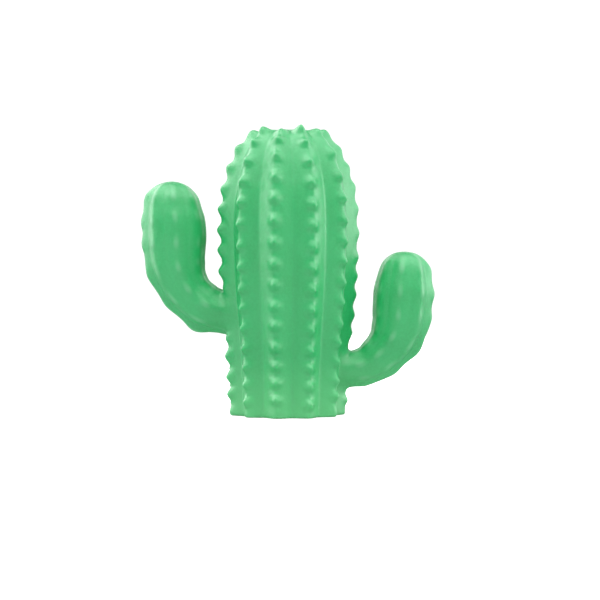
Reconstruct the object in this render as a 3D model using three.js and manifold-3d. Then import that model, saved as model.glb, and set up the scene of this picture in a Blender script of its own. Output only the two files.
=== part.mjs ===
// A small one-piece moulded figure of a columnar cactus: an upright ribbed body on a flat foot, with one
// raised arm on each side. Millimetres, +Z up. The body stands on z = 0 with its axis on the Z axis; the
// arms lie in the XZ plane, the higher one towards -X. The front of the figure faces -Y.
//
// The whole figure is one closed solid. Body and arms are turned profiles whose surface is then raised
// into ribs, and each rib carries a row of small rounded nubs. The arms are the same kind of profile,
// carried along a bent centre line. The three are joined into one body.
import * as THREE from "three";
import { mergeVertices } from "three/addons/utils/BufferGeometryUtils.js";
import Module from "manifold-3d";

// ---- driving dimensions (mm, degrees) ----

// Body: the line along the top of a rib between its nubs, as [radius, height], from foot to crown.
const BODY_CREST = [
  [29, 0.9],
  [29.2, 3.6],
  [29.4, 11.6],
  [29.9, 23.6],
  [30.8, 34.6],
  [32.2, 50.6],
  [33.5, 66.6],
  [34.2, 80.6],
  [34.5, 91.6],
  [34.2, 102.6],
  [33.1, 112.6],
  [31.1, 120.6],
  [28.4, 128],
  [25.1, 134.6],
  [21.5, 139.3],
  [17.4, 142.1],
  [12.5, 143.4],
  [7, 143.8],
  [0, 143.9],
];
const BODY_RIBS = 11;
const BODY_RIB_PHASE = -10.5; // azimuth of rib 0, from the front (-Y) towards +X
const BODY_RIB_DEPTH = 5.2; // top of a rib down to the valley beside it
const BODY_RIB_POWER = 1.2; // shape of a rib's sides: 1 is flat up to a sharp edge, 2 is round
const BODY_VALLEY_ROUND = 0.2; // rounding of the valleys, as a share of half a rib's width
const BODY_CROWN_SHALLOW = 0.45; // share of the rib depth that is lost towards the crown
const BODY_CROWN_FROM = [114, 141]; // heights over which it is lost
const BODY_RIB_FADE = [5, 23]; // radii between which the ribs run out on the crown
const FOOT_EDGE = 0.9; // edge rounding where the side meets the underside
const NUB_HEIGHT = 2.1; // above the rib between two nubs
const NUB_SHOULDER = 0.45; // what is left of it at the sides of the nub

// Heights of the nubs on each rib, from the foot up. The last one stands on the edge of the crown.
const NUB_LEVELS = [
  [9.1, 17.4, 25.6, 34.5, 45.3, 54.7, 65.1, 75.2, 85.8, 96.4, 107.3, 117.8, 128.3, 137, 142],
  [6.5, 15.4, 24.3, 32.7, 42.6, 52.5, 62.4, 72.8, 83.2, 93.9, 103.9, 115, 125.4, 135.4, 142],
  [2, 10.4, 17.9, 26.9, 36.5, 45.6, 56.6, 66.2, 76.7, 86.8, 96.9, 107.9, 118.7, 130.1, 141.5],
  [1.4, 7.2, 18.4, 29.5, 41.3, 50.4, 60.8, 70.2, 79.8, 91.9, 104.1, 115.2, 124.9, 134, 141.8],
  [8.7, 17.6, 26.5, 35.1, 44.9, 54.8, 64.7, 75.1, 85.5, 96.2, 106.2, 117.2, 127.5, 136.6, 142],
  [10.6, 19.5, 28.4, 37.2, 47, 56.9, 66.8, 77.2, 87.6, 98.3, 108.3, 119.2, 129.3, 137.2, 142],
  [7.7, 16.6, 25.5, 34, 43.8, 53.7, 63.6, 74, 84.4, 95.1, 105.1, 116.2, 126.4, 136, 142],
  [9.9, 18.6, 27.4, 36, 45.8, 55.7, 65.6, 76, 86.4, 97.1, 107.1, 118.2, 128.3, 136.9, 142],
  [5.5, 14.2, 23, 32, 41.4, 50.6, 59.5, 68.8, 78.5, 88.4, 99.2, 109.6, 120.2, 130.6, 141],
  [2, 10.9, 19.4, 29.9, 40.6, 51.2, 61.9, 72.5, 83.1, 93.1, 103.6, 113.7, 124.3, 134, 141.8],
  [7.6, 16.1, 24.7, 33.8, 43.8, 53.6, 62.9, 73.7, 83.9, 94.7, 105.5, 115.9, 126.2, 136.1, 142],
];
// Nub height factor of each rib: those of the rib that faces +X are the lowest.
const NUB_FACTOR = [1, 1, 0.95, 0.6, 0.85, 1, 1, 1, 1, 1.05, 1];
// How far each rib stands out further than the profile, and the heights over which it comes to this.
const RIB_RAISE = [0, 0, 0.3, 0.9, 0.3, 0, 0, 0, -0.1, -0.2, -0.1];
const RIB_RAISE_FROM = [38, 48];
const RIB_RAISE_BELOW = 0.3; // share of it below those heights
// Nubs that differ from the rest: cut low by the foot, or longer on the crown. [rib, nub, factor]
const ODD_NUBS = [
  [2, 0, 0.35],
  [3, 0, 0],
  [9, 0, 0.4],
  [0, 14, 0.4],
  [1, 14, 1.5],
  [3, 14, 1.7],
  [4, 14, 1.2],
  [7, 14, 1.3],
  [10, 14, 1.3],
];

// Arms: centre line as [x, z], then the rib-top radius along it as [distance, radius]. Rib 0 lies at the
// phase azimuth. valleys: depth below the rib tops of the valley after each rib. nubHeights: of each rib.
// elbowNub: height of the first nub on the rib that runs round the outside of the bend. ridge: the valley,
// and the side of it (0 or 1), that is flat up to a sharp edge at rib 0.
const ARMS = [
  {
    line: [
      [-14, 51.6],
      [-24, 51.7],
      [-32.2, 52],
      [-41.3, 54.3],
      [-48.8, 60],
      [-53.9, 67.6],
      [-56.7, 76.1],
      [-57.3, 84.6],
      [-57.4, 93.6],
      [-58.2, 101.6],
      [-58.5, 109.6],
      [-58.3, 118.2],
    ],
    radius: [
      [0, 12.7],
      [9, 12.5],
      [14, 11.8],
      [19, 11.1],
      [24, 11.6],
      [30, 12.1],
      [38, 12.3],
      [45, 13.3],
      [53, 14.8],
      [62, 15.6],
      [70, 16.2],
      [78, 15.8],
      [84, 14.7],
      [89.5, 13.1],
      [93.2, 10.5],
      [96, 6.4],
      [97.4, 0],
    ],
    phase: -37,
    nubs: [28, 40.5, 53, 65.5, 78, 89],
    valleys: [0.9, 0.8, 0.8, 1, 1.3, 1.3, 1.5, 2.1],
    nubHeights: [0.4, 0.35, 0.3, 0.1, 0.4, 0.65, 0.65, 0.8],
    elbowNub: 1.7,
    elbowRib: 7,
    ridge: [7, 1],
  },
  {
    line: [
      [14, 22.7],
      [24, 22.8],
      [32, 23],
      [41.1, 25.4],
      [48.3, 30.8],
      [54, 37.7],
      [57.2, 45.8],
      [58.2, 54.6],
      [58.9, 63.1],
      [59.4, 71.6],
      [59.7, 82.6],
    ],
    radius: [
      [0, 10.9],
      [8, 10.7],
      [12, 10.1],
      [16, 9.3],
      [21, 9.3],
      [26, 9.8],
      [31, 10.7],
      [36, 11.3],
      [41, 12.1],
      [46, 13.3],
      [52, 14.2],
      [58, 14.7],
      [65, 15.1],
      [72, 15],
      [79, 13.6],
      [85, 11.6],
      [88.2, 8.8],
      [90.3, 5],
      [91, 0],
    ],
    phase: 35,
    nubs: [22.5, 34.5, 46.5, 58.5, 70.5, 82],
    valleys: [2.1, 1.5, 1.3, 1.3, 1, 0.8, 0.8, 0.9],
    nubHeights: [0.5, 0.85, 0.65, 0.65, 0.4, 0.1, 0.3, 0.35],
    elbowNub: 0.85,
    elbowRib: 1,
    ridge: [0, 0],
  },
];
const ARM_RIBS = 8;
const ARM_RIB_START = [12, 24]; // distance along the arm over which its ribs rise out of the joint
const ARM_RIB_FADE = [4, 13]; // radii between which the ribs run out on the tip
const ARM_RIB_POWER = 1.45;
const ARM_RIDGE_POWER = 1.05; // the flat side of the sharp ridge

// Where the mesh lines lie across one rib, as shares of its width from the middle of the rib.
const RIB_STOPS = [0, 0.14, 0.32, 0.5, 0.68, 0.86];
const ARM_STOPS = [0, 0.25, 0.5, 0.75];

// ---- geometry ----

const wasm = await Module();
wasm.setup();

const rad = THREE.MathUtils.degToRad;
const smooth = THREE.MathUtils.smoothstep;

// Height of a rib's cross-section at share t of its width from its middle: 1 on top, 0 in the valley,
// or a little more than 0 where the valley is rounded.
function ribShape(t, power, round = 0) {
  const v = 1 - Math.abs(2 * (t > 0.5 ? t - 1 : t));
  const w = Math.hypot(v, round) - (Math.hypot(1, round) - 1) * v;
  return 1 - Math.pow(1 - w, power);
}

// Finds y for x in a table of [x, y] rows by a smooth monotone curve.
function along(table, x) {
  let i = 0;
  while (i < table.length - 2 && table[i + 1][0] < x) i++;
  const [x0, y0] = table[i];
  const [x1, y1] = table[i + 1];
  const slope = (a, b) =>
    table[b] && table[a] ? (table[b][1] - table[a][1]) / (table[b][0] - table[a][0]) : null;
  const here = (y1 - y0) / (x1 - x0);
  const m0 = slope(i - 1, i + 1) ?? here;
  const m1 = slope(i, i + 2) ?? here;
  const h = x1 - x0;
  const t = Math.min(1, Math.max(0, (x - x0) / h));
  const t2 = t * t;
  const t3 = t2 * t;
  return (
    (2 * t3 - 3 * t2 + 1) * y0 +
    (t3 - 2 * t2 + t) * h * m0 +
    (3 * t2 - 2 * t3) * y1 +
    (t3 - t2) * h * m1
  );
}

// A lathe geometry as a solid, once its vertices have been moved into place.
function toSolid(geometry) {
  const g = geometry.clone();
  g.deleteAttribute("normal");
  g.deleteAttribute("uv");
  const merged = mergeVertices(g, 1e-4);
  return new wasm.Manifold(
    new wasm.Mesh({
      numProp: 3,
      vertProperties: new Float32Array(merged.attributes.position.array),
      triVerts: new Uint32Array(merged.index.array),
    }),
  );
}

// Moves each vertex of a lathe with the given number of profile points to place(segment, row).
function shape(geometry, rows, segments, place) {
  const position = geometry.attributes.position;
  for (let i = 0; i <= segments; i++)
    for (let j = 0; j < rows; j++) {
      const p = place(i % segments, j);
      position.setXYZ(i * rows + j, p.x, p.y, p.z);
    }
  position.needsUpdate = true;
  return geometry;
}

// Point at distance out from the Z axis towards the azimuth, at height z.
function onAxis(azimuth, out, z) {
  return new THREE.Vector3(out * Math.sin(azimuth), -out * Math.cos(azimuth), z);
}

function makeBody() {
  const crest = new THREE.SplineCurve(BODY_CREST.map(([r, z]) => new THREE.Vector2(r, z)));
  crest.arcLengthDivisions = 2000;
  const length = crest.getLength();
  const table = crest.getSpacedPoints(2000);
  const distanceAt = (z) => {
    let i = 0;
    while (i < 1999 && table[i + 1].y < z) i++;
    const f = (z - table[i].y) / (table[i + 1].y - table[i].y);
    return ((i + f) / 2000) * length;
  };

  // Distances along the rib top of the mesh rows of each rib: a row on every nub and two between them.
  const rows = NUB_LEVELS.map((levels) => {
    const at = levels.map(distanceAt);
    const list = [at[0] / 2];
    for (let m = 0; m < at.length - 1; m++)
      for (let q = 0; q < 3; q++) list.push(at[m] + ((at[m + 1] - at[m]) * q) / 3);
    list.push(at[at.length - 1], at[at.length - 1] + 3.2);
    return list;
  });
  const nubRow = (row) => (row >= 1 && (row - 1) % 3 === 0 ? (row - 1) / 3 : -1);
  const crownRadii = [10.6, 7, 3.6];
  const rowCount = rows[0].length;
  const total = 3 + rowCount + crownRadii.length + 1;
  const segments = BODY_RIBS * RIB_STOPS.length;

  const nubHeight = (rib, nub) => {
    const odd = ODD_NUBS.find(([r, n]) => r === rib && n === nub);
    return NUB_HEIGHT * NUB_FACTOR[rib] * (odd ? odd[2] : 1);
  };

  const place = (i, j) => {
    const rib = Math.floor(i / RIB_STOPS.length);
    const next = (rib + 1) % BODY_RIBS;
    const stop = i % RIB_STOPS.length;
    const t = RIB_STOPS[stop];
    const azimuth = rad(BODY_RIB_PHASE + ((rib + t) * 360) / BODY_RIBS);
    const low = 1 - ribShape(t, BODY_RIB_POWER, BODY_VALLEY_ROUND);
    const shallow = (z) => 1 - BODY_CROWN_SHALLOW * smooth(z, ...BODY_CROWN_FROM);
    const most = RIB_RAISE[rib] * (1 - t) + RIB_RAISE[next] * t;
    const raise = (z) => most * (RIB_RAISE_BELOW + (1 - RIB_RAISE_BELOW) * smooth(z, ...RIB_RAISE_FROM));
    const sink = (r, z) => (BODY_RIB_DEPTH * low * shallow(z) - raise(z)) * smooth(r, ...BODY_RIB_FADE);

    if (j === 0) return new THREE.Vector3(0, 0, 0);
    if (j === total - 1) return onAxis(azimuth, 0, BODY_CREST[BODY_CREST.length - 1][1]);
    if (j <= 2) {
      const r = BODY_CREST[0][0] - sink(BODY_CREST[0][0], 0);
      return j === 1 ? onAxis(azimuth, r - FOOT_EDGE, 0) : onAxis(azimuth, r, FOOT_EDGE);
    }
    if (j >= 3 + rowCount) {
      const r = crownRadii[j - 3 - rowCount];
      let k = 0;
      while (k < 1999 && !(table[k + 1].x < r && table[k + 1].y > 140)) k++;
      return onAxis(azimuth, r, table[k].y - sink(r, table[k].y));
    }

    const row = j - 3;
    const share = smooth(t, 0.14, 0.86);
    const s = rows[rib][row] * (1 - share) + rows[next][row] * share;
    const at = crest.getPointAt(s / length);
    const ahead = crest.getTangentAt(s / length);
    const out = new THREE.Vector2(ahead.y, -ahead.x);
    const nub = nubRow(row);
    let lift = -sink(at.x, at.y);
    if (nub >= 0 && stop === 0) lift += nubHeight(rib, nub);
    if (nub >= 0 && stop === 1) lift += NUB_SHOULDER * (nubHeight(rib, nub) / NUB_HEIGHT);
    if (nub >= 0 && stop === RIB_STOPS.length - 1)
      lift += NUB_SHOULDER * (nubHeight(next, nub) / NUB_HEIGHT);
    return onAxis(azimuth, at.x + out.x * lift, at.y + out.y * lift);
  };

  const profile = Array.from({ length: total }, (_, j) => {
    const end = j === 0 || j === total - 1;
    return new THREE.Vector2(end ? 0 : 20, j);
  });
  return toSolid(shape(new THREE.LatheGeometry(profile, segments), total, segments, place));
}

function makeArm({ line, radius, phase, nubs, valleys, nubHeights, elbowNub, elbowRib, ridge }) {
  const curve = new THREE.CatmullRomCurve3(
    line.map(([x, z]) => new THREE.Vector3(x, 0, z)),
    false,
    "centripetal",
  );
  curve.arcLengthDivisions = 2000;
  const length = curve.getLength();
  const scale = length / radius[radius.length - 1][0];

  // Mesh rows along the arm: a row on every nub, two between them, and closer ones round the tip.
  const rows = [0, 7, 11, 14, 17, 20].filter((s) => s < nubs[0] - 2);
  for (let m = 0; m < nubs.length - 1; m++)
    for (let q = 0; q < 3; q++) rows.push(nubs[m] + ((nubs[m + 1] - nubs[m]) * q) / 3);
  const last = nubs[nubs.length - 1];
  const tip = radius[radius.length - 1][0];
  const firstNub = rows.indexOf(nubs[0]);
  rows.push(last);
  for (const f of [0.4, 0.7, 0.9]) rows.push(last + (tip - last) * f);
  const total = rows.length + 2;
  const segments = ARM_RIBS * ARM_STOPS.length;

  const place = (i, j) => {
    const t = ARM_STOPS[i % ARM_STOPS.length];
    const rib = Math.floor(i / ARM_STOPS.length);
    const azimuth = rad(phase + ((rib + t) * 360) / ARM_RIBS);
    const s = j === 0 ? 0 : j === total - 1 ? tip : rows[j - 1];
    const row = j - 1;
    const u = Math.min(1, (s * scale) / length);
    const centre = curve.getPointAt(u);
    const ahead = curve.getTangentAt(u);
    if (j === 0 || j === total - 1) return centre;
    const side = new THREE.Vector3(ahead.z, 0, -ahead.x);
    const front = new THREE.Vector3(0, -1, 0);
    const top = along(radius, s);
    let r = top;
    const flat = rib === ridge[0] && t > 0.5 === (ridge[1] === 1);
    const low = 1 - ribShape(t, flat ? ARM_RIDGE_POWER : ARM_RIB_POWER);
    r -= valleys[rib] * low * smooth(s, ...ARM_RIB_START) * smooth(top, ...ARM_RIB_FADE);
    const onNub = row >= firstNub && (row - firstNub) % 3 === 0 && row <= firstNub + 3 * (nubs.length - 1);
    if (onNub && t === 0) r += row === firstNub && rib === elbowRib ? elbowNub : nubHeights[rib];
    return centre
      .addScaledVector(side, r * Math.sin(azimuth))
      .addScaledVector(front, r * Math.cos(azimuth));
  };

  const profile = Array.from({ length: total }, (_, j) => {
    const end = j === 0 || j === total - 1;
    return new THREE.Vector2(end ? 0 : 10, j);
  });
  return toSolid(shape(new THREE.LatheGeometry(profile, segments), total, segments, place));
}

function toGeometry(solid) {
  const mesh = solid.getMesh();
  const n = mesh.numProp;
  const positions = new Float32Array(mesh.numVert * 3);
  for (let i = 0; i < mesh.numVert; i++)
    positions.set(mesh.vertProperties.subarray(i * n, i * n + 3), i * 3);
  const geometry = new THREE.BufferGeometry();
  geometry.setAttribute("position", new THREE.BufferAttribute(positions, 3));
  geometry.setIndex(new THREE.BufferAttribute(new Uint32Array(mesh.triVerts), 1));
  geometry.computeVertexNormals();
  return geometry;
}

let figure = makeBody();
for (const arm of ARMS) figure = figure.add(makeArm(arm));

const cactus = new THREE.Mesh(
  toGeometry(figure),
  new THREE.MeshStandardMaterial({ color: 0x4fb877, roughness: 0.5, metalness: 0 }),
);
cactus.name = "cactus_figure";

const root = new THREE.Group();
root.name = "root";
root.add(cactus);

export default root;
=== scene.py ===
import math

import bpy
import numpy as np
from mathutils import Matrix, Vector


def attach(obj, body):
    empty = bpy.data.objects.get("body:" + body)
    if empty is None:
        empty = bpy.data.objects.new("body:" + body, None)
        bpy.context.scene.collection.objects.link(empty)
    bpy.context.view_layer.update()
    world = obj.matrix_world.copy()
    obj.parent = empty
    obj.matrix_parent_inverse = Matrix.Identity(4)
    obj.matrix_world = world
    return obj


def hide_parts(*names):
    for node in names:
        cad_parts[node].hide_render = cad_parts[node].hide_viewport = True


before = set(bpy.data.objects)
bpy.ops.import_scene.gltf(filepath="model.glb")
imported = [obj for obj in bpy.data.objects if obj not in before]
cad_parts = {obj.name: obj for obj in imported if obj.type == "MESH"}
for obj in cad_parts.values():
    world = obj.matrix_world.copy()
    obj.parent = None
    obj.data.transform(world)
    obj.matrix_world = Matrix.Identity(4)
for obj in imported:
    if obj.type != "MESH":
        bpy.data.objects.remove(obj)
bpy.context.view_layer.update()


# ------------------------------------------------------------------ dimensions, millimetres and degrees
# Body: the line along the top of a rib between its nubs, as (radius, height), from foot to crown.
BODY_CREST = [
    (29.1, 0), (29.2, 3.6), (29.4, 11.6), (29.9, 23.6), (30.8, 34.6), (32.2, 50.6), (33.5, 66.6),
    (34.2, 80.6), (34.5, 91.6), (34.2, 102.6), (33.1, 112.6), (31.1, 120.6), (28.4, 128), (25.1, 134.6),
    (21.5, 139.3), (17.4, 142.1), (12.5, 143.4), (7, 143.8), (0, 143.9),
]
BODY_RIBS = 11
BODY_PHASE = -10.5
BODY_DEPTH = 5.2
BODY_FADE = (5.0, 23.0)
NUB_HEIGHT = 2.1
NUB_HALF_WIDTH = 4.6
NUB_LEVELS = [
    [9.1, 17.4, 25.6, 34.5, 45.3, 54.7, 65.1, 75.2, 85.8, 96.4, 107.3, 117.8, 128.3, 137, 142],
    [6.5, 15.4, 24.3, 32.7, 42.6, 52.5, 62.4, 72.8, 83.2, 93.9, 103.9, 115, 125.4, 135.4, 142],
    [2, 10.4, 17.9, 26.9, 36.5, 45.6, 56.6, 66.2, 76.7, 86.8, 96.9, 107.9, 118.7, 130.1, 141.5],
    [1.4, 7.2, 18.4, 29.5, 41.3, 50.4, 60.8, 70.2, 79.8, 91.9, 104.1, 115.2, 124.9, 134, 141.8],
    [8.7, 17.6, 26.5, 35.1, 44.9, 54.8, 64.7, 75.1, 85.5, 96.2, 106.2, 117.2, 127.5, 136.6, 142],
    [10.6, 19.5, 28.4, 37.2, 47, 56.9, 66.8, 77.2, 87.6, 98.3, 108.3, 119.2, 129.3, 137.2, 142],
    [7.7, 16.6, 25.5, 34, 43.8, 53.7, 63.6, 74, 84.4, 95.1, 105.1, 116.2, 126.4, 136, 142],
    [9.9, 18.6, 27.4, 36, 45.8, 55.7, 65.6, 76, 86.4, 97.1, 107.1, 118.2, 128.3, 136.9, 142],
    [5.5, 14.2, 23, 32, 41.4, 50.6, 59.5, 68.8, 78.5, 88.4, 99.2, 109.6, 120.2, 130.6, 141],
    [2, 10.9, 19.4, 29.9, 40.6, 51.2, 61.9, 72.5, 83.1, 93.1, 103.6, 113.7, 124.3, 134, 141.8],
    [7.6, 16.1, 24.7, 33.8, 43.8, 53.6, 62.9, 73.7, 83.9, 94.7, 105.5, 115.9, 126.2, 136.1, 142],
]
NUB_REACH = [(6.6, 3.8)] * 3 + [(4.8, 5.8)] * 2 + [(6.6, 3.8)] * 3 + [(4.8, 5.8)] * 2 + [(6.6, 3.8)]
NUB_FACTOR = [1, 1, 0.95, 0.6, 0.85, 1, 1, 1, 1, 1.05, 1]
ODD_NUBS = [
    (2, 0, 0.35), (3, 0, 0), (9, 0, 0.4), (0, 14, 0.4), (1, 14, 1.5), (3, 14, 1.7), (4, 14, 1.2), (7, 14, 1.3),
    (10, 14, 1.3),
]
RIB_RAISE = [0, 0, 0.3, 0.9, 0.3, 0, 0, 0, -0.1, -0.2, -0.1]
RIB_RAISE_FROM = (38.0, 48.0)
RIB_RAISE_BELOW = 0.3

# Arms: centre line as (x, z), then the rib-top radius along it as (radius, distance).
ARMS = [
    dict(
        line=[
            (-14, 51.6), (-24, 51.7), (-32.2, 52), (-41.3, 54.3), (-48.8, 60), (-53.9, 67.6), (-56.7, 76.1),
            (-57.3, 84.6), (-57.4, 93.6), (-58.2, 101.6), (-58.5, 109.6), (-58.3, 118.2),
        ],
        radius=[
            (12.7, 0), (12.5, 9), (11.8, 14), (11.1, 19), (11.6, 24), (12.1, 30), (12.3, 38), (13.3, 45),
            (14.8, 53), (15.6, 62), (16.2, 70), (15.8, 78), (14.7, 84), (13.1, 89.5), (10.5, 93.2), (6.4, 96),
            (0, 97.4),
        ],
        phase=-37, nubs=[28, 40.5, 53, 65.5, 78, 89], side=-1,
        valleys=[0.9, 0.8, 0.8, 1, 1.3, 1.3, 1.5, 2.1], heights=[0.4, 0.35, 0.3, 0.1, 0.4, 0.65, 0.65, 0.8],
        elbow=(7, 1.7), ridge=(7, -1),
    ),
    dict(
        line=[
            (14, 22.7), (24, 22.8), (32, 23), (41.1, 25.4), (48.3, 30.8), (54, 37.7), (57.2, 45.8),
            (58.2, 54.6), (58.9, 63.1), (59.4, 71.6), (59.7, 82.6),
        ],
        radius=[
            (10.9, 0), (10.7, 8), (10.1, 12), (9.3, 16), (9.3, 21), (9.8, 26), (10.7, 31), (11.3, 36),
            (12.1, 41), (13.3, 46), (14.2, 52), (14.7, 58), (15.1, 65), (15, 72), (13.6, 79), (11.6, 85),
            (8.8, 88.2), (5, 90.3), (0, 91),
        ],
        phase=35, nubs=[22.5, 34.5, 46.5, 58.5, 70.5, 82], side=1,
        valleys=[2.1, 1.5, 1.3, 1.3, 1, 0.8, 0.8, 0.9], heights=[0.5, 0.85, 0.65, 0.65, 0.4, 0.1, 0.3, 0.35],
        elbow=(1, 0.85), ridge=(0, 1),
    ),
]
ARM_RIBS = 8
ARM_START = (12.0, 24.0)
ARM_FADE = (4.0, 13.0)
FILLET = 2.8
FOOT_EDGE = 0.9
STEP = 0.88

# Studio: each light as name, azimuth, elevation, width and height in degrees, then how bright it is for
# diffuse surfaces and how bright its reflection is.
LIGHTS_AT = 2.6
WORLD_LIGHT = 0.68
WORLD_REFLECTED = 0.1
FLOOR_BOUNCE = 0.88
FLOOR_REFLECTED = 0.35
FLOOR_SHOWN = 0.75
LIGHTS = [
    ("side_left_far", -140, 12, 25, 30, 1.1, 2.0),
    ("side_left_back", -115, 12, 25, 30, 1.2, 2.2),
    ("side_left", -90, 12, 25, 30, 0.9, 1.9),
    ("side_left_front", -65, 12, 20, 30, 0.4, 0.4),
    ("side_right_front", 65, 12, 20, 30, 1.2, 0.35),
    ("side_right", 90, 12, 25, 30, 0.7, 3.0),
    ("side_right_back", 115, 12, 25, 30, 0.6, 1.3),
    ("side_right_far", 140, 12, 25, 30, 0.9, 1.1),
    ("upper_left", -90, 47, 34, 30, 0.5, 3.2),
    ("upper_left_front", -45, 47, 34, 30, 1.15, 0.9),
    ("upper_front", 0, 50, 34, 30, 2.45, 0.95),
    ("upper_right_front", 45, 47, 34, 30, 1.3, 1.0),
    ("upper_right", 90, 47, 34, 30, 0.6, 1.4),
    ("upper_left_back", -135, 40, 34, 30, 0.4, 3.0),
    ("upper_back", 180, 20, 50, 34, 1.2, 1.2),
    ("upper_right_back", 135, 40, 34, 30, 0.3, 1.4),
    ("top", 0, 88, 40, 40, 0.1, 2.7),
]


# ------------------------------------------------------------------ the shape, as a field that is 0 on the surface
def smooth(x, a, b):
    t = np.clip((x - a) / (b - a), 0.0, 1.0)
    return t * t * (3 - 2 * t)


def catmull(points, n, end=None):
    p = np.asarray(points, float)
    q = np.vstack([2 * p[0] - p[1], p, 2 * p[-1] - p[-2] if end is None else np.asarray(end, float)])
    t = np.linspace(0, 1, n, endpoint=False)[:, None]
    out = []
    for i in range(len(p) - 1):
        a, b, c, d = q[i], q[i + 1], q[i + 2], q[i + 3]
        out.append(0.5 * (2 * b + (c - a) * t + (2 * a - 5 * b + 4 * c - d) * t**2 + (3 * b - a - 3 * c + d) * t**3))
    out.append(p[-1:])
    return np.vstack(out)


def lengths(curve):
    return np.r_[0, np.cumsum(np.hypot(*np.diff(curve, axis=0).T))]


def nearest(curve, along, x, y):
    """For each point: signed distance to the curve (positive on its right), and the value of along there."""
    a, b = curve[:-1], curve[1:]
    d = b - a
    dd = (d * d).sum(1)
    dist = np.empty(x.shape)
    at = np.empty(x.shape)
    for lo in range(0, len(x), 4000):
        px, py = x[lo:lo + 4000, None], y[lo:lo + 4000, None]
        t = np.clip(((px - a[:, 0]) * d[:, 0] + (py - a[:, 1]) * d[:, 1]) / dd, 0, 1)
        ex, ey = px - a[:, 0] - t * d[:, 0], py - a[:, 1] - t * d[:, 1]
        e = ex * ex + ey * ey
        i = e.argmin(1)
        r = np.arange(len(i))
        sign = np.sign(d[i, 1] * ex[r, i] - d[i, 0] * ey[r, i])
        dist[lo:lo + 4000] = np.where(sign == 0, 1, sign) * np.sqrt(e[r, i])
        at[lo:lo + 4000] = along[i] + t[r, i] * (along[i + 1] - along[i])
    return dist, at


class Table:
    """Values on a regular grid, read between its points."""

    def __init__(self, curve, along, lo, hi, step):
        self.lo, self.step = lo, step
        gx = np.arange(lo[0], hi[0] + step, step)
        gy = np.arange(lo[1], hi[1] + step, step)
        self.shape = (len(gx), len(gy))
        mx, my = np.meshgrid(gx, gy, indexing="ij")
        d, s = nearest(curve, along, mx.ravel(), my.ravel())
        self.d, self.s = d.reshape(self.shape), s.reshape(self.shape)

    def __call__(self, x, y):
        fx = np.clip((x - self.lo[0]) / self.step, 0, self.shape[0] - 1.001)
        fy = np.clip((y - self.lo[1]) / self.step, 0, self.shape[1] - 1.001)
        ix, iy = fx.astype(int), fy.astype(int)
        tx, ty = fx - ix, fy - iy
        out = []
        for v in (self.d, self.s):
            a = v[ix, iy] * (1 - tx) + v[ix + 1, iy] * tx
            b = v[ix, iy + 1] * (1 - tx) + v[ix + 1, iy + 1] * tx
            out.append(a * (1 - ty) + b * ty)
        return out


def rib_low(t, power=1.2, soft=0.2):
    """0 on top of a rib, 1 in the valley, for t from -0.5 to 0.5 across it; the valley is slightly rounded."""
    u = np.abs(2 * t)
    v = 1 - np.sqrt(u * u + 0.0025) + 0.05
    v = np.clip(v, 0, 1.05) / 1.05
    v = np.sqrt(v * v + soft * soft) - (math.sqrt(1 + soft * soft) - 1) * v
    return np.clip(1 - v, 0, 1) ** power


def nub_wave(s, at, height, up, down):
    """Rounded thorns along a rib: apexes at the distances at, short above and long below."""
    at = np.asarray(at, float)
    height = np.asarray(height, float)
    n = len(at)
    i = np.searchsorted(at, s)
    below = np.clip(i - 1, 0, n - 1)
    above = np.clip(i, 0, n - 1)
    gap = np.where((i > 0) & (i < n), at[above] - at[below], 1e3)
    q = np.clip((s - at[below]) / np.minimum(up, 0.46 * gap), 0, 1)
    g = np.where(i > 0, height[below] * (0.5 + 0.5 * np.cos(np.pi * q**0.92)), 0)
    q = np.clip((at[above] - s) / np.minimum(down, 0.54 * gap), 0, 1)
    return g + np.where(i < n, height[above] * (0.5 + 0.5 * np.cos(np.pi * q**0.92)), 0)


crest = catmull(BODY_CREST, 40, end=(-7, BODY_CREST[-2][1]))
crest = np.vstack([[28.9, -6.0], crest])
crest_s = lengths(crest)
body_table = Table(crest, crest_s, (0.0, -5.0), (46.0, 154.0), 0.5)
upto = int(np.argmax(crest[:, 1] > 142.6))
nub_at = [np.interp(levels, crest[:upto, 1], crest_s[:upto]) for levels in NUB_LEVELS]
nub_h = [np.full(15, NUB_HEIGHT * f) for f in NUB_FACTOR]
for rib, nub, factor in ODD_NUBS:
    nub_h[rib][nub] *= factor

for arm in ARMS:
    line = catmull(arm["line"], 30)
    out = line[-1] - line[-2]
    out /= np.hypot(*out)
    line = np.vstack([line, line[-1] + out * 12])
    arm["line_s"] = lengths(line)
    arm["tip"] = arm["line_s"][-2]
    k = arm["tip"] / arm["radius"][-1][1]
    x = [p[0] for p in arm["line"]]
    z = [p[1] for p in arm["line"]]
    arm["place"] = Table(line, arm["line_s"], (min(x) - 24, min(z) - 24), (max(x) + 24, max(z) + 24), 0.5)
    prof = np.array(arm["radius"], float) * (1, k)
    curve = catmull(prof, 24, end=(-prof[-2][0], prof[-2][1]))
    arm["profile"] = Table(curve, curve[:, 1].copy(), (0.0, -4.0), (34.0, arm["tip"] + 14), 0.5)
    arm["nub_at"] = np.array(arm["nubs"], float) * k


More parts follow.
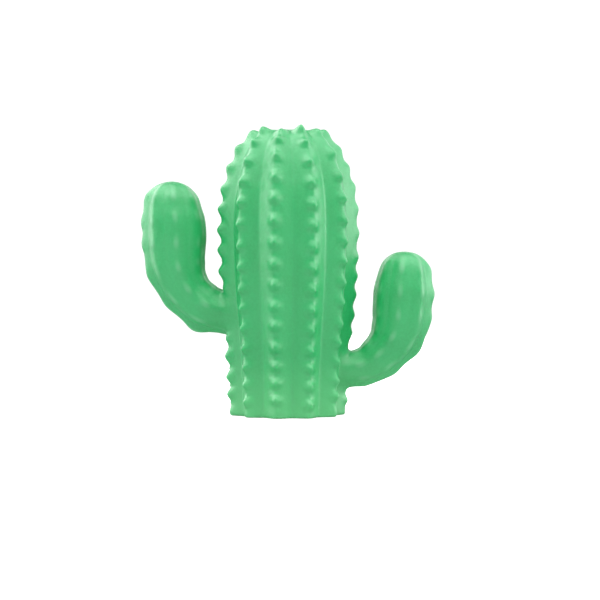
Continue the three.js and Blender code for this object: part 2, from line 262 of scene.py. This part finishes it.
def arm_field(arm, x, y, z):
    w, s = arm["place"](x, z)
    rho = np.hypot(w, y)
    phi = np.degrees(np.arctan2(w, -y))
    d, sp = arm["profile"](rho, s)
    a = (phi - arm["phase"]) / (360 / ARM_RIBS)
    t = a - np.round(a)
    rib = np.round(a).astype(int) % ARM_RIBS
    valley = np.floor(a).astype(int) % ARM_RIBS
    keep = smooth(sp, *ARM_START) * smooth(rho, *ARM_FADE)
    side = np.clip(np.abs(t) * (2 * np.pi / ARM_RIBS) * rho / 4.0, 0, 1)
    elbow, tall = arm["elbow"]
    nub = nub_wave(sp, arm["nub_at"], np.ones(6), 5.5, 6.0) * np.array(arm["heights"])[rib]
    first = np.array([tall - arm["heights"][elbow]] + [0.0] * 5)
    nub += np.where(rib == elbow, nub_wave(sp, arm["nub_at"], first, 5.5, 6.0), 0)
    nub *= 0.5 + 0.5 * np.cos(np.pi * side)
    flat = (valley == arm["ridge"][0]) & (t * arm["ridge"][1] > 0)
    low = rib_low(t, np.where(flat, 1.05, 1.5), 0.14)
    return d + keep * (np.array(arm["valleys"])[valley] * low - nub)


def arm_nub_highlight(arm, x, y, z):
    """Where a highlight is painted: 1 on top of an arm's low nubs, drawn out along the arm."""
    w, s = arm["place"](x, z)
    rho = np.hypot(w, y)
    phi = np.degrees(np.arctan2(w, -y))
    d, sp = arm["profile"](rho, s)
    a = (phi - arm["phase"]) / (360 / ARM_RIBS)
    across = np.clip(np.abs(a - np.round(a)) * (2 * np.pi / ARM_RIBS) * rho / 2.6, 0, 1)
    along = nub_wave(sp, arm["nub_at"], np.ones(6), 6.2, 4.0)
    return smooth(sp, *ARM_START) * (0.5 + 0.5 * np.cos(np.pi * across)) * (0.25 + 0.75 * along)


def body_parts(x, y, z):
    r = np.hypot(x, y)
    d, s = body_table(r, z)
    a = (np.degrees(np.arctan2(x, -y)) - BODY_PHASE) / (360 / BODY_RIBS)
    near = np.round(a)
    t = a - near
    rib = near.astype(int) % BODY_RIBS
    side = np.clip(np.abs(t) * (2 * np.pi / BODY_RIBS) * r / NUB_HALF_WIDTH, 0, 1)
    nub = np.zeros(x.shape)
    for k in range(BODY_RIBS):
        m = rib == k
        nub[m] = nub_wave(s[m], nub_at[k], nub_h[k], *NUB_REACH[k])
    nub *= 0.5 + 0.5 * np.cos(np.pi * side)
    fade = smooth(r, *BODY_FADE)
    below = np.floor(a).astype(int)
    up = np.array(RIB_RAISE)
    raised = up[below % BODY_RIBS] + (a - below) * (up[(below + 1) % BODY_RIBS] - up[below % BODY_RIBS])
    raised *= RIB_RAISE_BELOW + (1 - RIB_RAISE_BELOW) * smooth(z, *RIB_RAISE_FROM)
    shallow = 1 - 0.45 * smooth(z, 114.0, 141.0)
    return d - raised * fade, rib_low(t) * fade * shallow, nub


def blend(a, b, k):
    h = np.maximum(k - np.abs(a - b), 0) / k
    return np.minimum(a, b) - h * h * k / 4


def field(x, y, z):
    d, low, nub = body_parts(x, y, z)
    arms = []
    for arm in ARMS:
        f = np.full(x.shape, 60.0)
        m = (x * arm["side"] > 8) & (x * arm["side"] < 82)
        f[m] = arm_field(arm, x[m], y[m], z[m])
        arms.append(f)
    far = np.minimum(arms[0], arms[1])
    body = d + BODY_DEPTH * low - nub * smooth(far, 1.0, 6.0)
    f = blend(body, far, FILLET)
    return -blend(-f, z, FOOT_EDGE)


# ------------------------------------------------------------------ the mesh: one quad net on the zero surface
def surface(step):
    gx = np.arange(-78.0, 78.0 + step, step)
    gy = np.arange(-39.0, 39.0 + step, step)
    gz = np.arange(-1.37, 150.5, step)
    shape = (len(gx), len(gy), len(gz))
    f = np.empty(shape, np.float32)
    px, py = np.meshgrid(gx, gy, indexing="ij")
    for k0 in range(0, len(gz), 12):
        zs = gz[k0:k0 + 12]
        x = np.repeat(px.ravel(), len(zs))
        y = np.repeat(py.ravel(), len(zs))
        z = np.tile(zs, px.size)
        f[:, :, k0:k0 + 12] = field(x, y, z).reshape(shape[0], shape[1], len(zs))
    inside = f < 0
    corners = [(i, j, k) for i in (0, 1) for j in (0, 1) for k in (0, 1)]

    def view(a, c):
        return a[c[0]:a.shape[0] - 1 + c[0], c[1]:a.shape[1] - 1 + c[1], c[2]:a.shape[2] - 1 + c[2]]

    count = sum(view(inside, c).astype(np.int8) for c in corners)
    cells = np.argwhere((count > 0) & (count < 8))
    index = np.full(count.shape, -1, np.int64)
    index[tuple(cells.T)] = np.arange(len(cells))
    v = np.stack([f[cells[:, 0] + c[0], cells[:, 1] + c[1], cells[:, 2] + c[2]] for c in corners], 1)
    total = np.zeros((len(cells), 3))
    hits = np.zeros(len(cells))
    for a in range(8):
        for b in range(a + 1, 8):
            ca, cb = np.array(corners[a]), np.array(corners[b])
            if np.abs(ca - cb).sum() != 1:
                continue
            m = (v[:, a] < 0) != (v[:, b] < 0)
            t = v[m, a] / (v[m, a] - v[m, b])
            total[m] += ca + t[:, None] * (cb - ca)
            hits[m] += 1
    points = (cells + total / hits[:, None]) * step + np.array([gx[0], gy[0], gz[0]])

    quads = []
    for axis in range(3):
        lo = [slice(1, -1)] * 3
        hi = [slice(1, -1)] * 3
        lo[axis], hi[axis] = slice(0, -1), slice(1, None)
        a, b = inside[tuple(lo)], inside[tuple(hi)]
        e = np.argwhere(a != b)
        start = np.array([0 if i == axis else 1 for i in range(3)])
        flip = a[tuple(e.T)]
        e = e + start
        u, w = [i for i in range(3) if i != axis]
        if axis == 1:
            u, w = w, u
        ring = []
        for du, dw in ((1, 1), (0, 1), (0, 0), (1, 0)):
            c = e.copy()
            c[:, u] -= du
            c[:, w] -= dw
            ring.append(index[tuple(c.T)])
        q = np.stack(ring, 1)
        q[~flip] = q[~flip][:, ::-1]
        quads.append(q[:, ::-1])
    quads = np.vstack(quads)[:, ::-1]
    return points, quads


def gradient(p, h=0.05):
    g = np.empty_like(p)
    for i in range(3):
        e = np.zeros(3)
        e[i] = h
        g[:, i] = (field(*(p + e).T) - field(*(p - e).T)) / (2 * h)
    return g


def settle(p, times):
    for _ in range(times):
        g = gradient(p)
        f = field(*p.T)
        move = -f[:, None] * g / np.maximum((g * g).sum(1), 0.25)[:, None]
        size = np.linalg.norm(move, axis=1)
        p = p + move * np.minimum(1, 0.5 / np.maximum(size, 1e-9))[:, None]
    return p


def relax(p, quads, g):
    """One step that evens the net out along the surface."""
    total = np.zeros_like(p)
    n = np.zeros(len(p))
    for a in range(4):
        for b in ((a + 1) % 4, (a + 3) % 4):
            np.add.at(total, quads[:, a], p[quads[:, b]])
            np.add.at(n, quads[:, a], 1)
    move = total / n[:, None] - p
    g = g / np.maximum(np.linalg.norm(g, axis=1), 1e-6)[:, None]
    move -= (move * g).sum(1)[:, None] * g
    return p + 0.5 * move


points, quads = surface(STEP)
points = settle(points, 2)
for _ in range(2):
    points = settle(relax(points, quads, gradient(points)), 1)
points = settle(points, 1)
points[:, 2] = np.maximum(points[:, 2], 0.0)

mesh = bpy.data.meshes.new("cactus_skin")
mesh.vertices.add(len(points))
mesh.vertices.foreach_set("co", (points * 0.001).astype(np.float32).ravel())
mesh.loops.add(quads.size)
mesh.loops.foreach_set("vertex_index", quads.astype(np.int32).ravel())
mesh.polygons.add(len(quads))
mesh.polygons.foreach_set("loop_start", np.arange(0, quads.size, 4, dtype=np.int32))
mesh.polygons.foreach_set("loop_total", np.full(len(quads), 4, np.int32))
mesh.update(calc_edges=True)
mesh.validate()
mesh.polygons.foreach_set("use_smooth", np.ones(len(mesh.polygons), bool))
cactus = bpy.data.objects.new("cactus_skin", mesh)
bpy.context.scene.collection.objects.link(cactus)

# Where each point lies in the relief: 1 on top of a nub, and 1 down in a valley. The material makes nub tops
# glossier and paints a faint highlight into the valleys.
d, low, nub = body_parts(*points.T)
far = np.full(len(points), 60.0)
# How strongly a highlight is painted at each point on the arms' low nubs; the material reads it.
nub_highlight = np.zeros(len(points))
for arm in ARMS:
    m = (points[:, 0] * arm["side"] > 8)
    own = arm_field(arm, *points[m].T)
    far[m] = np.minimum(far[m], own)
    nub_highlight[m] = arm_nub_highlight(arm, *points[m].T) * (1 - smooth(own, 0.3, 1.5))
on_body = smooth(far, 0.5, 4.0)
for name, value in (("nub", np.clip(nub / NUB_HEIGHT, 0, 1.2) * on_body), ("valley", low * on_body), ("nub_highlight", nub_highlight)):
    layer = mesh.attributes.new(name, "FLOAT", "POINT")
    layer.data.foreach_set("value", value.astype(np.float32))

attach(cactus, "root")
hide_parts("cactus_figure")


# ------------------------------------------------------------------ material
def skin_material():
    mat = bpy.data.materials.new("soft_green_vinyl")
    mat.use_nodes = True
    nt = mat.node_tree
    nodes, links = nt.nodes, nt.links
    nodes.clear()
    out = nodes.new("ShaderNodeOutputMaterial")
    bsdf = nodes.new("ShaderNodeBsdfPrincipled")
    links.new(bsdf.outputs[0], out.inputs["Surface"])
    coord = nodes.new("ShaderNodeTexCoord")

    def noise(scale, detail=3.0, rough=0.55):
        n = nodes.new("ShaderNodeTexNoise")
        n.inputs["Scale"].default_value = scale
        n.inputs["Detail"].default_value = detail
        n.inputs["Roughness"].default_value = rough
        links.new(coord.outputs["Object"], n.inputs["Vector"])
        return n.outputs["Fac"]

    def ramp(value, lo, hi, to_lo, to_hi):
        r = nodes.new("ShaderNodeMapRange")
        r.inputs["From Min"].default_value = lo
        r.inputs["From Max"].default_value = hi
        r.inputs["To Min"].default_value = to_lo
        r.inputs["To Max"].default_value = to_hi
        links.new(value, r.inputs["Value"])
        return r.outputs["Result"]

    def mix(fac, a, b):
        m = nodes.new("ShaderNodeMix")
        m.data_type = "RGBA"
        links.new(fac, m.inputs["Factor"])
        for socket, value in ((m.inputs["A"], a), (m.inputs["B"], b)):
            if hasattr(value, "links"):
                links.new(value, socket)
            else:
                socket.default_value = (*value, 1)
        return m.outputs["Result"]

    def attribute(name):
        a = nodes.new("ShaderNodeAttribute")
        a.attribute_name = name
        return a.outputs["Fac"]

    cloud = noise(38, 2.0)
    grain = noise(800, 3.0, 0.65)
    colour = mix(ramp(cloud, 0.3, 0.7, 0, 1), (0.002, 0.408, 0.102), (0.006, 0.448, 0.122))
    # Painted highlight: down in the rib valleys the colour turns slightly paler, standing in for light caught along
    # the creases.
    colour = mix(ramp(attribute("valley"), 0.6, 0.8, 0, 0.1), colour, (0.06, 0.52, 0.19))
    colour = mix(ramp(grain, 0.35, 0.7, 0, 0.5), colour, (0.020, 0.515, 0.155))
    # Painted highlight: the arms' low nubs, and streaks along them, turn paler, standing in for light caught on
    # their tops.
    colour = mix(ramp(attribute("nub_highlight"), 0.2, 1.0, 0, 0.6), colour, (0.15, 0.55, 0.26))
    # Painted light: over the lowest 30 mm the colour turns paler towards the foot, standing in for light bounced up
    # from the floor.
    place = nodes.new("ShaderNodeSeparateXYZ")
    links.new(coord.outputs["Object"], place.inputs[0])
    colour = mix(ramp(place.outputs["Z"], 0.030, 0.0, 0, 0.65), colour, (0.12, 0.62, 0.22))
    links.new(colour, bsdf.inputs["Base Color"])
    worn = nodes.new("ShaderNodeMath")
    worn.operation = "SUBTRACT"
    links.new(ramp(noise(300, 4.0), 0.3, 0.7, 0.36, 0.45), worn.inputs[0])
    links.new(ramp(attribute("nub"), 0.3, 1.0, 0, 0.05), worn.inputs[1])
    links.new(worn.outputs[0], bsdf.inputs["Roughness"])
    bsdf.inputs["IOR"].default_value = 1.65
    bsdf.inputs["Specular IOR Level"].default_value = 0.95
    bsdf.inputs["Subsurface Weight"].default_value = 0.12
    bsdf.inputs["Subsurface Radius"].default_value = (0.3, 1.0, 0.5)
    bsdf.inputs["Subsurface Scale"].default_value = 0.003
    bump = nodes.new("ShaderNodeBump")
    bump.inputs["Strength"].default_value = 0.3
    bump.inputs["Distance"].default_value = 0.0003
    links.new(grain, bump.inputs["Height"])
    links.new(bump.outputs["Normal"], bsdf.inputs["Normal"])
    return mat


mesh.materials.append(skin_material())


# ------------------------------------------------------------------ stage, light, camera
def floor_material():
    mat = bpy.data.materials.new("pale_floor")
    mat.use_nodes = True
    b = mat.node_tree.nodes["Principled BSDF"]
    b.inputs["Roughness"].default_value = 0.9
    b.inputs["Specular IOR Level"].default_value = 0.1
    b.inputs["Emission Color"].default_value = (1, 1, 1, 1)
    nt = mat.node_tree
    path = nt.nodes.new("ShaderNodeLightPath")
    level = nt.nodes.new("ShaderNodeMath")
    level.operation = "MULTIPLY"
    level.inputs[1].default_value = FLOOR_SHOWN
    nt.links.new(path.outputs["Is Camera Ray"], level.inputs[0])
    nt.links.new(level.outputs[0], b.inputs["Emission Strength"])
    grey = nt.nodes.new("ShaderNodeMapRange")
    grey.inputs["To Min"].default_value = FLOOR_BOUNCE
    grey.inputs["To Max"].default_value = FLOOR_REFLECTED
    nt.links.new(path.outputs["Is Glossy Ray"], grey.inputs["Value"])
    nt.links.new(grey.outputs["Result"], b.inputs["Base Color"])
    return mat


floor_mesh = bpy.data.meshes.new("floor")
rings, spokes, reach = 12, 48, 1.6
verts = [(0.0, 0.0, -0.0002)]
for i in range(1, rings + 1):
    for j in range(spokes):
        turn = 2 * math.pi * j / spokes
        verts.append((reach * i / rings * math.cos(turn), reach * i / rings * math.sin(turn), -0.0002))
faces = [(0, 1 + j, 1 + (j + 1) % spokes) for j in range(spokes)]
for i in range(rings - 1):
    for j in range(spokes):
        a, b = 1 + i * spokes + j, 1 + i * spokes + (j + 1) % spokes
        faces.append((a, a + spokes, b + spokes, b))
floor_mesh.from_pydata(verts, [], faces)
floor_mesh.materials.append(floor_material())
floor = bpy.data.objects.new("floor", floor_mesh)
bpy.context.scene.collection.objects.link(floor)

# The backdrop is white to look at, and gives less light than it shows.
world = bpy.data.worlds.new("studio")
world.use_nodes = True
nt = world.node_tree
background = nt.nodes["Background"]
background.inputs["Color"].default_value = (1, 1, 1, 1)
path = nt.nodes.new("ShaderNodeLightPath")
given = nt.nodes.new("ShaderNodeMapRange")
given.inputs["To Min"].default_value = WORLD_LIGHT
given.inputs["To Max"].default_value = WORLD_REFLECTED
nt.links.new(path.outputs["Is Glossy Ray"], given.inputs["Value"])
level = nt.nodes.new("ShaderNodeMapRange")
level.inputs["To Max"].default_value = 1.1
nt.links.new(given.outputs["Result"], level.inputs["To Min"])
nt.links.new(path.outputs["Is Camera Ray"], level.inputs["Value"])
nt.links.new(level.outputs["Result"], background.inputs["Strength"])
bpy.context.scene.world = world
bpy.context.scene.view_settings.view_transform = "Standard"
bpy.context.scene.view_settings.look = "None"


def panel(name, azimuth, elevation, wide, tall, brightness, away=LIGHTS_AT):
    """A soft light seen from the object as wide x tall degrees, azimuth counted from -Y towards +X."""
    a, e = math.radians(azimuth), math.radians(elevation)
    w = 2 * away * math.tan(math.radians(wide) / 2)
    h = 2 * away * math.tan(math.radians(tall) / 2)
    light = bpy.data.lights.new(name, "AREA")
    light.shape = "RECTANGLE"
    light.size, light.size_y = w, h
    light.energy = math.pi * w * h * brightness
    obj = bpy.data.objects.new(name, light)
    aim = Vector((0, 0, 0.075))
    out = Vector((math.cos(e) * math.sin(a), -math.cos(e) * math.cos(a), math.sin(e)))
    obj.location = aim + out * away
    obj.rotation_euler = (-out).to_track_quat("-Z", "Y").to_euler()
    bpy.context.scene.collection.objects.link(obj)
    return obj


for name, azimuth, elevation, wide, tall, diffuse, reflected in LIGHTS:
    panel(name, azimuth, elevation, wide, tall, diffuse).visible_glossy = False
    panel(name + "_reflected", azimuth, elevation, wide, tall, reflected, LIGHTS_AT - 0.1).visible_diffuse = False

camera_data = bpy.data.cameras.new("camera")
camera_data.lens = 82.7
camera_data.sensor_width = 36.0
camera_data.clip_start = 0.01
camera = bpy.data.objects.new("camera", camera_data)
camera.location = (0.00635, -0.700, 0.0580)
camera.rotation_euler = (math.pi / 2, 0, 0)
bpy.context.scene.collection.objects.link(camera)
bpy.context.scene.camera = camera
